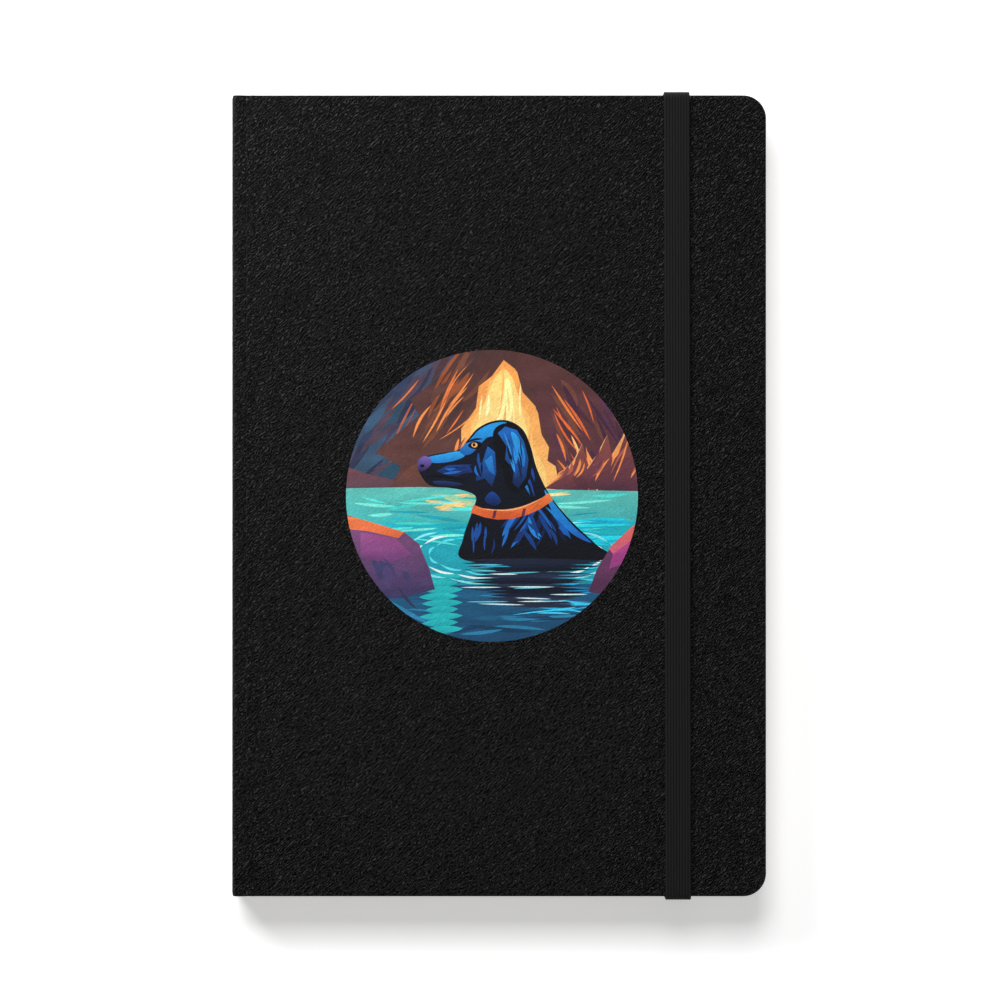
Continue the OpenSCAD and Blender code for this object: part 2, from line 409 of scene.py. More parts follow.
def cover_shell(outer_z, inward, vertices, faces):
    """Leatherette of one cover: outer face at outer_z; inward is 1 for the back cover, -1 for the front."""
    turn_in, turn_in_bevel = 12 * MM, 0.15 * MM
    top = BOARD_HIGH + SKIN_T
    steps = 5
    profile = [(turn_in, BOARD_HIGH), (turn_in - turn_in_bevel, top)]
    for i in range(steps + 1):
        a = math.radians(90 * i / steps)
        profile.append((EDGE_R * (1 - math.sin(a)), top - EDGE_R * (1 - math.cos(a))))
    for i in range(steps + 1):
        a = math.radians(90 * i / steps)
        profile.append((EDGE_R * (1 - math.cos(a)), EDGE_R * (1 - math.sin(a))))
    profile += [(2.5 * MM, 0.0), (8 * MM, 0.0)]
    rings = []
    for inset, depth in profile:
        points = outline(BOARD_X - SKIN_T, FORE_X, HEAD_Y, CORNER_R, SPINE_CORNER_R, inset)
        rings.append([(x, y, outer_z + inward * depth) for x, y in points])
    ring_solid(rings, vertices, faces)


def hinge_lip(outer_z, inward, vertices, faces):
    """The strip of leatherette between the crease and the board: a shallow groove."""
    crease_gap, board_lap, steps = 0.03 * MM, 0.9 * MM, 8
    start = CREASE_X + crease_gap
    width = BOARD_X + board_lap - start
    top, bottom = [], []
    for i in range(steps + 1):
        t = i / steps
        x = start + width * t
        dip = HINGE_DIP * (0.5 + 0.5 * math.cos(math.pi * t))
        top.append((x, outer_z + inward * dip))
        bottom.append((x, outer_z + inward * (dip + SKIN_T)))
    section = bottom + top[::-1]
    end, near_end = HEAD_Y - 0.05 * MM, HEAD_Y - 0.6 * MM
    stations = [-end, -near_end, near_end, end]
    sweep_y(section if inward > 0 else section[::-1], stations, vertices, faces)


def make_cover(name, body, node, outer_z, inward):
    """One cover's leatherette with its hinge lip, in place of the frame's skin."""
    vertices, faces = [], []
    cover_shell(outer_z, inward, vertices, faces)
    hinge_lip(outer_z, inward, vertices, faces)
    piece = add_mesh(name, vertices, faces, LEATHER)
    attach(piece, body)
    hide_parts(node)


def spine_section(upper):
    """Half of the spine's section, from the crease round the shoulder to mid height, as a closed line."""
    shoulder = 1.5 * MM
    fine = [0.0, 0.1 * MM, 0.2 * MM, 0.35 * MM, 0.5 * MM, 0.75 * MM, 1.2 * MM]
    outer, inner = [], []
    for line, inset in ((outer, 0.0), (inner, SKIN_T)):
        for i in range(7):
            t = i / 6
            x = CREASE_X + (SPINE_X + shoulder - CREASE_X) * t
            dip = HINGE_DIP * (0.5 + 0.5 * math.cos(math.pi * min(1.0, t * 1.25)))
            line.append((x, inset + dip))
        radius = shoulder - inset
        for i in range(1, 8):
            a = math.radians(90 * i / 7)
            line.append((SPINE_X + shoulder - radius * math.sin(a), shoulder - radius * math.cos(a)))
        for z in spaced(shoulder, MID_Z - fine[-1], 1.0 * MM)[1:]:
            line.append((SPINE_X + inset, z))
        for gap in fine[-2::-1]:
            line.append((SPINE_X + inset, MID_Z - gap))
    section = outer + inner[::-1]
    if upper:
        section = [(x, BOOK_T - z) for x, z in section]
    return section


def make_spine():
    """The spine's leatherette in two halves, one for the rear and one for the front."""
    stations = [-HEAD_Y, -HEAD_Y + 0.3 * MM] + spaced(-HEAD_Y + 1 * MM, HEAD_Y - 1 * MM, 12 * MM)
    stations += [HEAD_Y - 0.3 * MM, HEAD_Y]

    def worn_ends(x, z, y):
        """The head and tail caps are pulled in by a hair where the leatherette is turned over."""
        pull = 0.25 * MM * max(0.0, 1 - (HEAD_Y - abs(y)) / (0.9 * MM)) ** 2
        return x + pull * (1 if x < SPINE_X + 1 * MM else 0), z + pull * (1 if z < MID_Z else -1)

    halves = []
    for name, upper in (("spine_leather_rear", False), ("spine_leather_front", True)):
        vertices, faces = [], []
        section = spine_section(upper)
        sweep_y(section[::-1] if upper else section, stations, vertices, faces, worn_ends)
        halves.append(add_mesh(name, vertices, faces, LEATHER))
    rear, front = halves
    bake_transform(rear)
    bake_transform(front)
    for piece in halves:
        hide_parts("spine_skin")


make_cover("back_cover_leather", "back_cover", "back_cover_skin", 0.0, 1)
make_cover("front_cover_leather", "front_cover", "front_cover_skin", BOOK_T, -1)
make_spine()


# ---- spine lining --------------------------------------------------------------------------------
def make_lining(name, node, material):
    """A flat strip of the spine's lining, with closer rows round mid height."""
    low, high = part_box(node)
    heights = spaced(low.z, MID_Z, 0.8 * MM) + [MID_Z + step * 0.1 * MM for step in range(1, 8)]
    heights += spaced(MID_Z + 1 * MM, high.z, 0.8 * MM)
    section = [(high.x, z) for z in heights] + [(low.x, z) for z in reversed(heights)]
    vertices, faces = [], []
    sweep_y(section, spaced(low.y, high.y, 9 * MM), vertices, faces)
    piece = add_mesh(name, vertices, faces, material)
    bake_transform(piece)
    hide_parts(node)


make_lining("spine_card_strip", "spine_card", BOARD)
make_lining("spine_gauze", "spine_mull", MULL)


# ---- paper ---------------------------------------------------------------------------------------
def make_signature(node, body):
    """Eight separate leaves with slightly uneven cut edges, and their round back fold."""
    low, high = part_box(node)
    leaves, air = 8, 0.06
    pitch = (high.z - low.z) / leaves
    fold_r = (high.z - low.z) / 2
    vertices, faces = [], []
    for k in range(leaves):
        short_x, short_y = random.uniform(0, 0.16) * MM, random.uniform(0, 0.14) * MM
        z0, z1 = low.z + pitch * (k + air), low.z + pitch * (k + 1 - air)
        points = outline(low.x + fold_r, high.x - short_x, high.y - short_y, PAGE_CORNER_R, 0.1 * MM)
        ring_solid([[(x, y, z) for x, y in points] for z in (z0, z1)], vertices, faces)
    fold = arc(low.x + fold_r, (low.z + high.z) / 2, fold_r, 90, 270, 10)
    sweep_y(fold, spaced(low.y + 0.1 * MM, high.y - 0.1 * MM, 36 * MM), vertices, faces)
    piece = add_mesh(node + "_leaves", vertices, faces, PAGE)
    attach(piece, body)
    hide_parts(node)


SIGNATURES, FRONT_SIGNATURES = 10, 5
for number in range(1, SIGNATURES + 1):
    make_signature("signature_%02d" % number, "front_pages" if number <= FRONT_SIGNATURES else "rear_pages")


def paper_strip(name, line, thickness):
    """A strip of paper with this XZ line, over the height of the endpapers."""
    upper = [(x, z + thickness / 2) for x, z in line]
    lower = [(x, z - thickness / 2) for x, z in line]
    vertices, faces = [], []
    sweep_y(upper + lower[::-1], spaced(-PAGE_Y + 0.4 * MM, PAGE_Y - 0.4 * MM, 14 * MM), vertices, faces)
    piece = add_mesh(name, vertices, faces, ENDPAPER)
    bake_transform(piece)


def make_hinge_papers():
    """The endpapers between each pasted half and its loose half, across the inner joint."""
    fly_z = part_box("front_flyleaf")[1].z
    paste_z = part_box("front_pastedown")[0].z
    back_z, back_fly_z = COVER_T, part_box("back_flyleaf")[0].z
    count = 24
    x0, x1 = BLOCK_X + 0.1 * MM, BOARD_X + 0.5 * MM
    front = [(x0 + (x1 - x0) * i / count, (fly_z + paste_z) / 2) for i in range(count + 1)]
    back = [(x, back_fly_z - 0.05 * MM + (back_z + 0.06 * MM - back_fly_z) * i / count)
            for i, (x, _) in enumerate(front)]
    for name, line, thickness, bodies, z in (
        ("front_hinge_paper", front, 0.03 * MM, ("front_pages", "front_cover"), fly_z),
        ("back_hinge_paper", back, 0.05 * MM, ("rear_pages", "back_cover"), back_z),
    ):
        paper_strip(name, line, thickness)


make_hinge_papers()


def make_centre_fold():
    """The middle sheet's fold at the gutter, between the fifth and sixth signatures."""
    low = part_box("signature_06")[1].z
    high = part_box("signature_05")[0].z
    reach, inner = 4.0 * MM, 0.2 * MM
    rear, front = low + 0.03 * MM, high - 0.03 * MM
    radius = (front - rear) / 2
    turn = arc(BLOCK_X - inner, (rear + front) / 2, radius, 270, 90, 12)
    line = [(BLOCK_X + reach, rear)] + turn + [(BLOCK_X + reach, front)]
    thick = 0.02 * MM
    stations = spaced(-PAGE_Y + 0.3 * MM, PAGE_Y - 0.3 * MM, 14 * MM)
    vertices = [(x, y, z) for y in stations for x, z in line]
    count = len(line)
    faces = [(a, a + 1, a + count + 1, a + count)
             for k in range(len(stations) - 1) for a in range(k * count, k * count + count - 1)]
    piece = add_mesh("centre_fold", vertices, faces, PAGE)
    skin = piece.modifiers.new("thickness", "SOLIDIFY")
    skin.thickness, skin.offset = thick, 0.0
    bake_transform(piece)


make_centre_fold()

for material, nodes in (
    (ENDPAPER, ("front_pastedown", "back_pastedown", "front_flyleaf", "back_flyleaf")),
    (BOARD, ("front_board", "back_board")), (POCKET_CARD, ("pocket_panel",)), (ELASTIC, ("elastic_tabs",)),
    (LINEN, ("sewing_thread_rear", "sewing_thread_front")),
):
    for node in nodes:
        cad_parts[node].data.materials.clear()
        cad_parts[node].data.materials.append(material)


# ---- ribbon and pocket ---------------------------------------------------------------------------
def make_ribbon():
    """Woven marker, flat between the pages, with a slanted cut end."""
    low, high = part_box("ribbon_marker")
    width = 6 * MM
    rows, cols = 120, 8
    vertices, faces = [], []
    mid_z = (low.z + high.z) / 2
    for i in range(rows + 1):
        t = i / rows
        y = high.y + (low.y - high.y) * t
        x = low.x + (high.x - width - low.x) * t
        for j in range(cols + 1):
            s = j / cols
            cut = -2.5 * MM * s * max(0.0, (t - 0.9) / 0.1)
            wave = 0.02 * MM * math.sin(t * 60) + 0.015 * MM * math.cos(s * math.pi * 2)
            vertices.append((x + width * s, y - cut, mid_z + wave))
    for i in range(rows):
        for j in range(cols):
            a = i * (cols + 1) + j
            faces.append((a, a + cols + 1, a + cols + 2, a + 1))
    piece = add_mesh("ribbon_weave", vertices, faces, RIBBON)
    skin = piece.modifiers.new("thickness", "SOLIDIFY")
    skin.thickness, skin.offset = 0.12 * MM, 0.0
    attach(piece, "rear_pages")
    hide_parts("ribbon_marker")


def make_gussets():
    """Folded cloth at the pocket's head and tail, each strip in zigzag folds."""
    low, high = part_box("pocket_gussets")
    bottom, top = low.z + 0.03 * MM, high.z - 0.03 * MM
    depth, folds = 5.5 * MM, 8
    vertices, faces = [], []
    xs = spaced(low.x, high.x - 0.3 * MM, 3 * MM)
    for side in (1, -1):
        first = len(vertices)
        for x in xs:
            rim = side * (high.y - 0.2 * MM)
            fold = side * (high.y - depth)
            for k in range(folds + 1):
                t = k / folds
                y = rim + (fold - rim) * (1 - abs(2 * t - 1))
                vertices.append((x, y, bottom + (top - bottom) * t))
        for i in range(len(xs) - 1):
            for k in range(folds):
                a = first + i * (folds + 1) + k
                faces.append((a, a + folds + 1, a + folds + 2, a + 1))
    piece = add_mesh("gusset_folds", vertices, faces, GUSSET_CLOTH, smooth=False)
    skin = piece.modifiers.new("thickness", "SOLIDIFY")
    skin.thickness, skin.offset = 0.03 * MM, 0.0
    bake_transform(piece)
    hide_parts("pocket_gussets")


make_ribbon()
make_gussets()


# ---- elastic -------------------------------------------------------------------------------------
def make_band():
    """Ribbed elastic, swept from one edge of the back cover over the front to the other edge."""
    low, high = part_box("elastic_band")
    width, thick = high.x - low.x, high.z - BOOK_T
    centre_x = (low.x + high.x) / 2
    ribs, points_per_rib = 9, 6
    bend = 1.1 * MM
    side_gap, top_gap, foot_gap = 0.06 * MM, 0.04 * MM, 0.1 * MM
    inner_y, top_z, foot_z = HEAD_Y + side_gap, BOOK_T + top_gap, low.z + foot_gap
    step = 0.27 * MM

    def round_corner(centre_y, start_deg, end_deg):
        """Path points round one bend, each with its outward direction."""
        points = arc(centre_y, top_z - bend, bend, start_deg, end_deg, 8)[1:]
        return [(y, z, tuple(Vector((y - centre_y, z - top_z + bend)).normalized())) for y, z in points]

    leg = spaced(foot_z, top_z - bend, step * 3)
    path = [(-inner_y, z, (-1.0, 0.0)) for z in leg]
    path += round_corner(-inner_y + bend, 180, 90)
    path += [(y, top_z, (0.0, 1.0)) for y in spaced(-inner_y + bend, inner_y - bend, step)[1:]]
    path += round_corner(inner_y - bend, 90, 0)
    path += [(inner_y, z, (1.0, 0.0)) for z in leg[-2::-1]]
    across = [j / (ribs * points_per_rib) for j in range(ribs * points_per_rib + 1)]
    hump = [abs(math.sin(math.pi * ribs * s)) for s in across]
    scallop, drift, lift = 0.02 * MM, 0.2 * MM, 0.02 * MM
    rings = []
    for n, (y, z, normal) in enumerate(path):
        middle = centre_x + drift * (-y / HEAD_Y)
        half = width / 2 + scallop * math.cos(n * 2.1)
        ring = []
        for s, rise in zip(across, hump):
            edge = min(s, 1 - s) * ribs
            crown = thick * (0.80 + 0.12 * rise ** 0.7) * min(1.0, 0.86 + edge * 0.4)
            ring.append((middle + (2 * s - 1) * half, y + normal[0] * crown, z + normal[1] * crown))
        for s in (1.0, 0.5, 0.0):
            ring.append((middle + (2 * s - 1) * half * 0.97, y + normal[0] * lift, z + normal[1] * lift))
        rings.append(ring)
    vertices, faces = [], []
    ring_solid(rings, vertices, faces)
    piece = add_mesh("elastic_weave", vertices, faces, ELASTIC)
    # Per-point value for the colour: 1 on the rib tops, 0 in the grooves between them, where the material
    # paints shade; the selvedges and the back take 0.8.
    selvedge, back_points = 0.8, 3
    shade = [selvedge] + hump[1:-1] + [selvedge] * (1 + back_points)
    values = [channel for _ in rings for h in shade for channel in (h, h, h, 1.0)]
    piece.data.color_attributes.new("GrooveShade", "FLOAT_COLOR", "POINT").data.foreach_set("color", values)
    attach(piece, "elastic")
    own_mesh(piece)
    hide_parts("elastic_band")


make_band()


# ---- print ---------------------------------------------------------------------------------------
def srgb(code):
    """Linear colour from a hex code."""
    parts = [int(code[i:i + 2], 16) / 255 for i in (0, 2, 4)]
    return tuple(p / 12.92 if p < 0.04045 else ((p + 0.055) / 1.055) ** 2.4 for p in parts)


def smooth_loop(points, steps=6):
    """Closed Catmull-Rom curve through given points."""
    count, result = len(points), []
    for i in range(count):
        p0, p1, p2, p3 = (Vector(points[(i + k) % count]) for k in (-1, 0, 1, 2))
        for s in range(steps):
            t = s / steps
            result.append(
                0.5 * (2 * p1 + (p2 - p0) * t + (2 * p0 - 5 * p1 + 4 * p2 - p3) * t * t
                       + (3 * p1 - p0 - 3 * p2 + p3) * t ** 3)
            )
    return [(v.x, v.y) for v in result]


def brush(x0, y0, x1, y1, width, bow=0.0):
    """A tapered stroke between two points."""
    start, end = Vector((x0, y0)), Vector((x1, y1))
    side = Vector((-(end - start).y, (end - start).x)).normalized()
    one, two = [], []
    for i in range(1, 8):
        t = i / 8
        centre = start.lerp(end, t) + side * bow * math.sin(math.pi * t)
        half = side * width / 2 * math.sin(math.pi * t) ** 0.7
        one.append(tuple(centre + half))
        two.append(tuple(centre - half))
    return [(x0, y0)] + one + [(x1, y1)] + two[::-1]


def ellipse(cx, cy, rx, ry, steps=28):
    """Points round an ellipse."""
    return [(cx + rx * math.cos(2 * math.pi * i / steps), cy + ry * math.sin(2 * math.pi * i / steps))
            for i in range(steps)]


def signed_area(points):
    """Positive when the outline runs counter-clockwise."""
    return sum(p[0] * q[1] - q[0] * p[1] for p, q in zip(points, points[1:] + points[:1])) / 2


def inside(x, y, points):
    """True when the point lies inside the outline, by counting crossings to its right."""
    crossings = False
    x0, y0 = points[-1]
    for x1, y1 in points:
        if (y1 > y) != (y0 > y) and x < (x0 - x1) * (y - y1) / (y0 - y1) + x1:
            crossings = not crossings
        x0, y0 = x1, y1
    return crossings


def paint_layers():
    """The picture, back to front, as (outline in radii of the disc, colour at top, colour at foot)."""
    layers = [(ellipse(0, 0, 1, 1, 200), "3a3f5c", "2a3550")]

    def add(points, top, foot=None):
        layers.append((points, top, foot or top))

    def strokes(count, area, slope, length, width, colours, bow=0.02):
        """Random brush strokes in a box, all leaning the same way."""
        for _ in range(count):
            x, y = random.uniform(area[0], area[2]), random.uniform(area[1], area[3])
            lean = math.radians(random.gauss(slope, 7))
            reach = length * random.uniform(0.5, 1.3)
            add(brush(x, y, x + reach * math.cos(lean), y + reach * math.sin(lean),
                      width * random.uniform(0.5, 1.4), random.uniform(-bow, bow)), random.choice(colours))

    # Rock walls and the light between them
    add([(-1.1, 1.1), (-0.35, 1.1), (-0.5, 0.3), (-0.7, -0.1), (-1.1, -0.1)], "3b4560", "2c4a5e")
    strokes(60, (-1.05, -0.05, -0.45, 0.7), 52, 0.42, 0.05,
            ["2f3a55", "35506a", "3f3850", "264458", "4a3c4c", "2a3048"])
    strokes(7, (-0.95, 0.2, -0.6, 0.6), 52, 0.4, 0.012, ["a85a3c", "8a4a3c", "c8703c"])
    add([(-0.2, 1.1), (0.62, 1.05), (0.95, 0.45), (1.05, 0.0), (-0.72, 0.02), (-0.62, 0.2), (-0.8, 0.3),
         (-0.5, 0.55),
         (-0.56, 0.66), (-0.3, 0.86)], "4a2f2e", "5c3a36")
    strokes(26, (-0.5, 0.2, -0.2, 0.8), 56, 0.36, 0.035, ["5a3a34", "6e4232", "46302f", "8a4a2c"])
    strokes(9, (-0.55, 0.3, -0.25, 0.7), 56, 0.3, 0.014, ["d8713a", "e88a48", "c8642e"])
    add([(-0.36, 0.03), (-0.31, 0.2), (-0.21, 0.31), (-0.21, 0.46), (-0.11, 0.6), (-0.09, 0.75), (0.0, 0.82),
         (0.08, 0.93),
         (0.17, 0.86), (0.21, 0.71), (0.31, 0.6), (0.34, 0.42), (0.42, 0.28), (0.47, 0.03)], "e8964c",
         "f2b064")
    add([(-0.28, 0.03), (-0.24, 0.22), (-0.15, 0.34), (-0.14, 0.5), (-0.04, 0.66), (-0.02, 0.78),
         (0.08, 0.88),
         (0.15, 0.8), (0.17, 0.66), (0.26, 0.54), (0.28, 0.34), (0.36, 0.2), (0.38, 0.03)], "f2b060",
         "f8c474")
    add(smooth_loop([(-0.18, 0.16), (-0.1, 0.5), (0.02, 0.8), (0.1, 0.86), (0.17, 0.72), (0.25, 0.4),
                     (0.28, 0.14)]),
        "f8c874", "fcd88c")
    add(smooth_loop([(-0.02, 0.16), (0.03, 0.5), (0.08, 0.78), (0.13, 0.76), (0.16, 0.45), (0.17, 0.14)]),
        "ffe898", "fff0b4")
    strokes(14, (-0.18, 0.2, 0.28, 0.6), 86, 0.3, 0.014, ["ffe6a0", "f8d080", "eda95e", "fff0b4"])
    strokes(8, (-0.26, 0.1, -0.14, 0.3), 62, 0.22, 0.02, ["b8683c", "8a4a34", "e08a4c"])
    add([(0.2, 1.05), (0.7, 1.05), (1.1, 0.4), (1.1, -0.02), (0.5, 0.03), (0.44, 0.2), (0.38, 0.24),
         (0.4, 0.4),
         (0.3, 0.6), (0.3, 0.72), (0.16, 0.86)], "52322f", "5a3440")
    strokes(34, (0.38, 0.1, 0.9, 0.8), -62, 0.4, 0.045, ["4a2a34", "5e3638", "6c4036", "42263a", "53304a"])
    strokes(13, (0.36, 0.25, 0.85, 0.8), -62, 0.32, 0.014, ["e07a3c", "f0985a", "d4622e", "f6b470"])
    for x, y, reach, lean in ((0.86, 0.04, 0.46, 0.22), (0.68, 0.05, 0.56, 0.3), (0.55, 0.06, 0.36, 0.24),
                              (0.42, 0.06, 0.3, 0.2), (0.36, 0.05, 0.16, 0.16)):
        add([(x, y), (x + lean * 0.7, y + reach * 0.62), (x + lean, y + reach),
             (x + lean * 1.15, y + reach * 0.55),
             (x + 0.24, y - 0.02)], "8a4a44", "4c2c3c")
        add([(x, y), (x + lean * 0.7, y + reach * 0.62), (x + lean, y + reach),
             (x + lean * 0.62, y + reach * 0.42)],
            "f6b878", "d8743c")
        strokes(4, (x + 0.06, y + 0.02, x + 0.16, y + 0.1), 58, reach * 0.5, 0.02,
                ["e88a48", "a85a4c", "6a3848"])
    # Low rocks on the far shore
    add(smooth_loop([(-1.1, 0.2), (-0.82, 0.14), (-0.66, 0.1), (-0.62, 0.0), (-0.72, -0.07), (-1.1, -0.1)],
                    5),
        "6b4248", "3c3e52")
    add(smooth_loop([(-0.66, 0.1), (-0.52, 0.22), (-0.4, 0.17), (-0.28, 0.1), (-0.26, 0.04), (-0.7, 0.02)],
                    5),
        "6a4234", "56373a")
    # Water
    add([(-1.1, 0.05), (-0.5, 0.06), (1.1, 0.03), (1.1, -0.34), (-1.1, -0.34)], "5cb6ac", "22a2ac")
    add([(-1.1, -0.18), (1.1, -0.2), (1.1, -1.1), (-1.1, -1.1)], "1fabb8", "1d4f74")
    strokes(30, (-0.48, -0.1, 0.3, 0.02), 0, 0.3, 0.022, ["e8c47e", "f6d694", "b9bd8c", "8fc4a0"], 0.006)
    strokes(46, (-0.95, -0.3, 0.7, 0.0), 0, 0.34, 0.018, ["3accc2", "22b0b4", "52d8d0", "1c9aaa", "74e0d2"],
            0.006)
    strokes(30, (-0.3, -0.36, 0.8, -0.16), -2, 0.4, 0.02, ["1ec8e0", "28d4e6", "19a8c6", "7fe6ee"], 0.006)
    add([(-1.1, -0.62), (1.1, -0.6), (1.1, -1.1), (-1.1, -1.1)], "1e587c", "1b3f60")
    strokes(40, (-0.75, -0.98, 0.6, -0.6), 0, 0.4, 0.022, ["205a7c", "1c4a6a", "2a78a0", "173a58"], 0.008)
    for i in range(9):
        y = -0.56 - 0.045 * i
        add(brush(-0.5 + 0.02 * (i % 3), y, -0.2 - 0.03 * (i % 2), y + 0.01, 0.052), "27b6b8", "1fa0a8")
    strokes(16, (0.1, -0.82, 0.6, -0.5), 3, 0.36, 0.014, ["28a8d8", "3fc0e8", "1f8cc4"], 0.012)
    # Ripple rings round the dog, open at the back
    cx, cy = 0.12, -0.4
    for rx, ry, colour in ((0.74, 0.2, "7fdce6"), (0.64, 0.165, "d8f0f0"), (0.55, 0.135, "58d4e2")):
        for side in (-1, 1):
            for k in range(5):
                a0 = math.radians(-80 + 26 * k) if side > 0 else math.radians(180 - (-80 + 26 * k))
                a1 = a0 + side * math.radians(24)
                add(brush(cx + rx * math.cos(a0), cy + ry * math.sin(a0),
                          cx + rx * math.cos(a1), cy + ry * math.sin(a1), 0.016, -side * 0.014), colour)
    paint_dog(add, strokes)
    # Near rocks
    left = [(-1.1, -0.1), (-0.93, -0.15), (-0.76, -0.2), (-0.6, -0.25), (-0.5, -0.33), (-0.43, -0.5),
            (-0.39, -0.64),
            (-0.62, -0.7), (-1.1, -0.72)]
    add(left, "7c4a72", "33345a")
    add([(-1.1, -0.12), (-0.93, -0.15), (-0.76, -0.2), (-0.6, -0.25), (-0.64, -0.29), (-0.86, -0.24),
         (-1.1, -0.22)],
        "e27a48", "d8663e")
    add([(-0.9, -0.25), (-0.66, -0.29), (-0.55, -0.4), (-0.7, -0.46), (-0.9, -0.42)], "8e4a7e", "6a3c70")
    strokes(8, (-0.9, -0.62, -0.55, -0.4), -66, 0.18, 0.04, ["3c3a62", "2e3050", "4a3e68"])
    right = [(1.1, -0.1), (0.95, -0.22), (0.82, -0.34), (0.72, -0.5), (0.66, -0.66), (0.84, -0.68),
             (1.1, -0.66)]
    add(right, "7a4268", "4a2a48")
    add([(1.1, -0.1), (0.95, -0.22), (0.8, -0.36), (0.83, -0.4), (1.1, -0.2)], "e0703c", "c85a7a")
    add([(0.83, -0.4), (1.0, -0.28), (1.1, -0.24), (1.1, -0.4), (0.8, -0.5)], "c24a94", "8a3a78")
    return layers


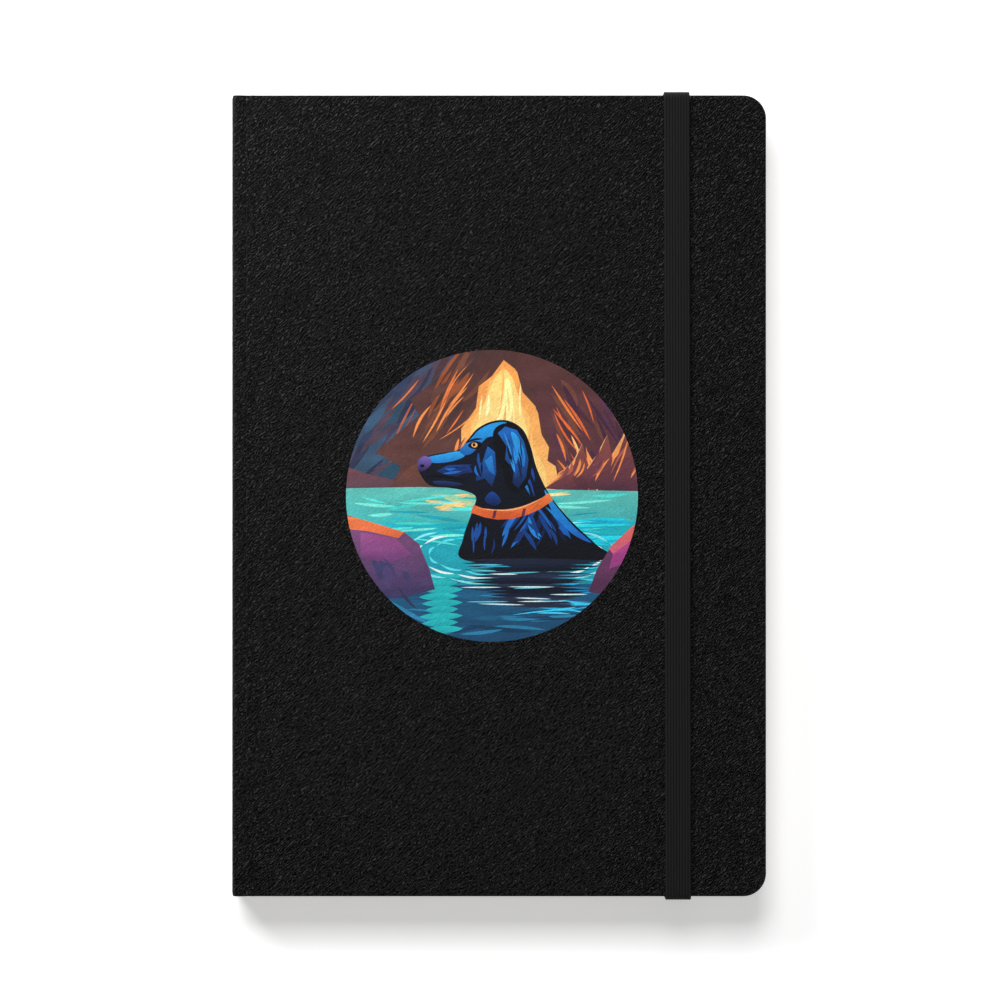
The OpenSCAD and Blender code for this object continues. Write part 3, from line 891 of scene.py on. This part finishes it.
def paint_dog(add, strokes):
    """A plain dark dog seen from the side, up to its chest in the water."""
    body = smooth_loop([
        (-0.19, -0.44), (-0.2, -0.3), (-0.14, -0.12), (-0.11, -0.01), (-0.19, 0.035), (-0.3, 0.055),
        (-0.42, 0.07),
        (-0.475, 0.12), (-0.505, 0.19), (-0.49, 0.255), (-0.37, 0.29), (-0.23, 0.315), (-0.165, 0.385),
        (-0.1, 0.46),
        (0.0, 0.51), (0.11, 0.515), (0.21, 0.455), (0.265, 0.34), (0.31, 0.18), (0.4, 0.0), (0.54, -0.17),
        (0.71, -0.33), (0.8, -0.43), (0.3, -0.47),
    ])
    add(body, "0d1222", "0a0c14")
    # Planes of light on the muzzle, brow, cheek and neck
    add(smooth_loop([(-0.44, 0.262), (-0.33, 0.288), (-0.22, 0.305), (-0.19, 0.27), (-0.28, 0.235),
                     (-0.4, 0.225)], 5),
        "2a9adc", "1f6fb8")
    add(smooth_loop([(-0.22, 0.315), (-0.15, 0.385), (-0.09, 0.45), (0.0, 0.495), (0.1, 0.5), (0.06, 0.42),
                     (-0.03, 0.4),
                     (-0.09, 0.34), (-0.14, 0.29), (-0.19, 0.28)], 5), "2496dc", "1a5aa6")
    add([(-0.03, 0.34), (0.02, 0.3), (0.03, 0.16), (-0.0, 0.06), (-0.05, 0.12), (-0.11, 0.1), (-0.1, 0.2),
         (-0.06, 0.25)],
        "1b5cab", "10244e")
    add([(0.0, 0.28), (0.02, 0.14), (-0.02, 0.17), (-0.05, 0.24)], "2a86d0", "1a5aa6")
    add([(-0.38, 0.17), (-0.3, 0.21), (-0.16, 0.215), (-0.13, 0.16), (-0.2, 0.15), (-0.24, 0.13),
         (-0.32, 0.145)],
        "173a7c", "101a38")
    strokes(6, (-0.34, 0.15, -0.24, 0.19), 12, 0.12, 0.014, ["1f5cae", "14306c", "0c1530"], 0.01)
    strokes(6, (-0.1, 0.1, -0.02, 0.24), 100, 0.12, 0.016, ["0c1530", "1a4a92", "1f66b8"], 0.01)
    add(smooth_loop([(-0.4, 0.1), (-0.3, 0.1), (-0.2, 0.08), (-0.28, 0.065), (-0.38, 0.078)], 5), "1a3468",
        "10182e")
    add(brush(-0.475, 0.135, -0.17, 0.1, 0.016, 0.012), "04060a")
    add(smooth_loop([(0.0, 0.03), (0.06, -0.03), (0.02, -0.07), (-0.05, -0.03)], 5), "17408a", "0e1f48")
    strokes(14, (0.05, -0.38, 0.3, -0.22), 62, 0.2, 0.026, ["14306c", "1a4a92", "0e1f48", "1f66b8"], 0.02)
    strokes(18, (0.3, -0.42, 0.56, -0.2), 124, 0.2, 0.024, ["1558a8", "1f7cc8", "123a7a", "0e1a3a"], 0.02)
    strokes(7, (-0.14, -0.42, 0.0, -0.27), 80, 0.15, 0.022, ["14306c", "1a4a92"], 0.01)
    strokes(7, (0.24, -0.02, 0.3, 0.1), 108, 0.14, 0.02, ["17408a", "1f6fb8"], 0.01)
    add(smooth_loop([(0.36, 0.04), (0.44, -0.07), (0.56, -0.21), (0.68, -0.32), (0.55, -0.26),
                     (0.42, -0.12)]),
        "1e90d8", "1a5ab0")
    # Ear: a hanging flap, dark at its rim
    add(smooth_loop([(0.01, 0.44), (0.08, 0.495), (0.17, 0.48), (0.24, 0.38), (0.275, 0.24), (0.245, 0.09),
                     (0.17, 0.02),
                     (0.1, 0.06), (0.07, 0.18), (0.02, 0.3)]), "060810", "04060c")
    add([(0.04, 0.43), (0.09, 0.475), (0.17, 0.45), (0.22, 0.37), (0.25, 0.25), (0.235, 0.13), (0.18, 0.05),
         (0.14, 0.09),
         (0.15, 0.18), (0.09, 0.25), (0.1, 0.34)], "1a5fae", "101c40")
    add(smooth_loop([(0.13, 0.43), (0.18, 0.4), (0.225, 0.29), (0.22, 0.2), (0.18, 0.26)], 5), "2a9ae0",
        "1b62ae")
    strokes(12, (0.12, 0.1, 0.21, 0.28), 102, 0.14, 0.016, ["0e1a3a", "17408a", "0a1024", "2a86d0"], 0.01)
    # Nose, eye and collar
    add(smooth_loop([(-0.51, 0.19), (-0.5, 0.25), (-0.45, 0.272), (-0.41, 0.235), (-0.44, 0.19),
                     (-0.485, 0.165)], 5),
        "6a58a4", "241c48")
    add(ellipse(-0.478, 0.205, 0.016, 0.011, 12), "0a0814")
    add(smooth_loop([(-0.165, 0.345), (-0.12, 0.375), (-0.07, 0.36), (-0.085, 0.325), (-0.13, 0.322)], 5),
        "04060a")
    add(ellipse(-0.12, 0.348, 0.021, 0.017, 16), "e0a468")
    add(ellipse(-0.123, 0.349, 0.01, 0.012, 12), "080808")
    add(brush(-0.18, 0.36, -0.06, 0.39, 0.016, 0.01), "0a1024")
    add([(-0.126, -0.062), (-0.05, -0.09), (0.04, -0.105), (0.14, -0.1), (0.24, -0.07), (0.32, -0.03),
         (0.385, 0.018),
         (0.418, -0.03), (0.34, -0.085), (0.25, -0.128), (0.14, -0.158), (0.04, -0.163), (-0.05, -0.148),
         (-0.146, -0.115)],
        "e8783c", "c2502a")
    add(brush(-0.11, -0.08, 0.37, 0.0, 0.012, -0.055), "f6a066")
    for x, y in ((0.0, -0.13), (0.2, -0.118)):
        add([(x, y - 0.025), (x + 0.012, y + 0.028), (x + 0.034, y + 0.032), (x + 0.022, y - 0.02)], "5a2a44")
    # Reflection
    for i in range(15):
        y = -0.44 - 0.022 * i
        reach = 0.5 - 0.016 * i
        offset = random.uniform(-0.05, 0.05)
        add(brush(0.28 - reach + offset, y, 0.28 + reach + offset, y + random.uniform(-0.012, 0.012), 0.03),
            random.choice(["0f1626", "1a2236", "232a40", "131c30"]))
    for _ in range(16):
        y = random.uniform(-0.76, -0.43)
        x = random.uniform(-0.25, 0.5)
        add(brush(x, y, x + random.uniform(0.15, 0.35), y + random.uniform(-0.01, 0.01), 0.009),
            random.choice(["5fb8c8", "3f86a8", "8a5a50", "c8e4e8", "2a9ac8"]))


INK_GAIN = 1.15


def paint_colour(x, y, layer):
    """Layer colour at a point: graded from top to foot, with streaks of lighter and darker paint."""
    points, top, foot = layer
    ys = [p[1] for p in points]
    t = min(1.0, max(0.0, (max(ys) - y) / max(1e-6, max(ys) - min(ys))))
    a, b = srgb(top), srgb(foot)
    broad, fine = noise.noise(Vector((x * 5, y * 17, 0.3))), noise.noise(Vector((x * 23, y * 31, 4.0)))
    streak = broad * 0.22 + fine * 0.1
    return tuple(min(1.0, INK_GAIN * (p + (q - p) * t) * (1 + streak)) for p, q in zip(a, b))


def make_print():
    """The picture as one flat mesh: every outline is cut in, and the top layer gives each face its colour."""
    low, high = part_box("cover_print")
    centre = (low + high) / 2
    radius = (high.x - low.x) / 2
    layers = paint_layers()
    points, loops = [], []
    for outline_points, _, _ in layers:
        start = len(points)
        if signed_area(outline_points) < 0:
            outline_points = outline_points[::-1]
        points += [Vector(p) for p in outline_points]
        loops.append(list(range(start, len(points))))
    step, row_share, rim = 0.028, 0.87, 0.98
    rows = int(1 / step) + 1
    for i in range(-rows, rows + 1):
        for j in range(-rows, rows + 1):
            p = Vector((i * step + (j % 2) * step / 2, j * step * row_share))
            if p.length < rim:
                points.append(p)
    cut = geometry.delaunay_2d_cdt(points, [], loops, 1, 1e-5, True)
    vertices = [(centre.x + p.x * radius, centre.y + p.y * radius, high.z) for p in cut[0]]
    spans = [(min(p[0] for p in o), max(p[0] for p in o), min(p[1] for p in o), max(p[1] for p in o))
             for o, _, _ in layers]

    def top_layer(x, y):
        """Number of the uppermost layer at a point."""
        for k in range(len(layers) - 1, 0, -1):
            x0, x1, y0, y1 = spans[k]
            if x0 <= x <= x1 and y0 <= y <= y1 and inside(x, y, layers[k][0]):
                return k
        return 0

    faces, owners = [], []
    for face in cut[2]:
        x = sum(cut[0][i].x for i in face) / len(face)
        y = sum(cut[0][i].y for i in face) / len(face)
        if math.hypot(x, y) > 1.0:
            continue
        faces.append(tuple(face))
        owners.append(top_layer(x, y))
    piece = add_mesh("round_print", vertices, faces, PRINT, smooth=False)
    colours = piece.data.color_attributes.new("Paint", "FLOAT_COLOR", "CORNER")
    values = []
    for polygon, owner in zip(piece.data.polygons, owners):
        for corner in polygon.vertices:
            x, y = cut[0][corner]
            values.extend(paint_colour(x, y, layers[owner]) + (1.0,))
    colours.data.foreach_set("color", values)
    skin = piece.modifiers.new("film", "SOLIDIFY")
    skin.thickness, skin.offset = 0.02 * MM, 1.0
    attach(piece, "front_cover")
    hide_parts("cover_print")


make_print()


# ---- stage ---------------------------------------------------------------------------------------
def floor_material():
    """Pale floor with a faint cloudiness, bright enough to read as white."""
    nodes = Nodes("pale_floor")
    cloud = nodes.noise(nodes.coordinates((1, 1, 1)), 3.0, 2.0)
    color = nodes.mix(nodes.spread(cloud, 0.3, 0.7), (0.83, 0.83, 0.83), (0.86, 0.86, 0.86))
    return nodes.finish(color, 0.7, Specular_IOR_Level=0.1, Emission_Color=(1, 1, 1, 1),
                        Emission_Strength=0.47)


def make_stage():
    """The floor, wide enough to reach the horizon in low views."""
    size, gap = 15.0, 0.05 * MM
    data = bpy.data.meshes.new("floor")
    data.from_pydata([(-size, -size, 0), (size, -size, 0), (size, size, 0), (-size, size, 0)], [],
                     [(0, 1, 2, 3)])
    data.materials.append(floor_material())
    floor = bpy.data.objects.new("floor", data)
    floor.location.z = -gap
    bpy.context.scene.collection.objects.link(floor)


def add_light(name, place, target, size, power):
    """A square area light at a place, aimed at a target."""
    data = bpy.data.lights.new(name, "AREA")
    data.shape, data.size, data.energy = "SQUARE", size, power
    lamp = bpy.data.objects.new(name, data)
    lamp.location = place
    lamp.rotation_euler = (Vector(target) - Vector(place)).to_track_quat("-Z", "Y").to_euler()
    bpy.context.scene.collection.objects.link(lamp)


def make_lights():
    """Soft studio light: a key from the head side, a small glint for the grain and a weak fill."""
    world = bpy.data.worlds.new("studio")
    world.use_nodes = True
    background = world.node_tree.nodes["Background"]
    background.inputs["Color"].default_value = (1, 1, 1, 1)
    background.inputs["Strength"].default_value = 0.1
    bpy.context.scene.world = world
    add_light("key", (-0.12, 1.0, 1.35), (0, 0, 0), 0.7, 19)
    add_light("glint", (-0.25, 0.2, 0.26), (-0.06, 0.03, 0), 0.16, 1.2)
    add_light("fill", (1.3, 0.2, 0.9), (0, 0, 0), 0.8, 1)
    bpy.context.scene.view_settings.view_transform = "Standard"


make_stage()
make_lights()
